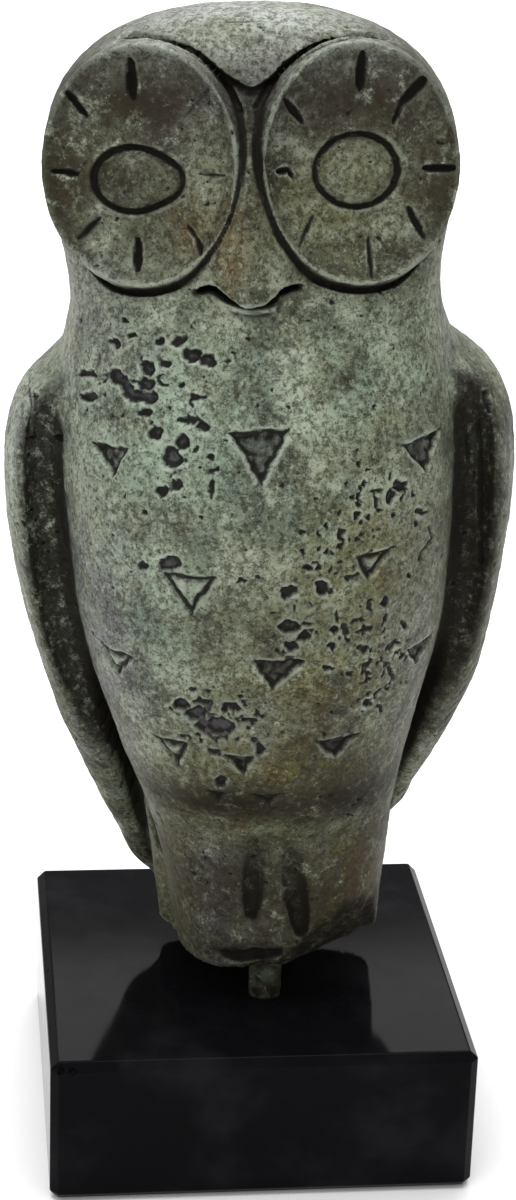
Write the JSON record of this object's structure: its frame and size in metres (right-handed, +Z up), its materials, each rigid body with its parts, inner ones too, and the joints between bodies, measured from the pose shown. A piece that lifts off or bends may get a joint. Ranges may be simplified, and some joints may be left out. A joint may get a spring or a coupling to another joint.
{
  "type": "owl statue",
  "caption": "Small cast bronze owl with round dished eye discs and folded wings, held on a short pin above a square block of polished black marble.",
  "frame": {"origin": "centre of the plinth's underside", "axes": "+Z up, -Y towards the viewer that the owl faces, +X to that viewer's right"},
  "size_m": [0.0709, 0.06, 0.1628],
  "materials": {
    "owl_bronze": "cast, with a matt grey-green verdigris patina",
    "pin_bronze": "dull, tarnished green-brown",
    "black_marble": "polished to a gloss"
  },
  "bodies": {
    "root": {"owl_figure": "owl_bronze", "mounting_pin": "pin_bronze", "plinth": "black_marble"}
  },
  "joints": []
}
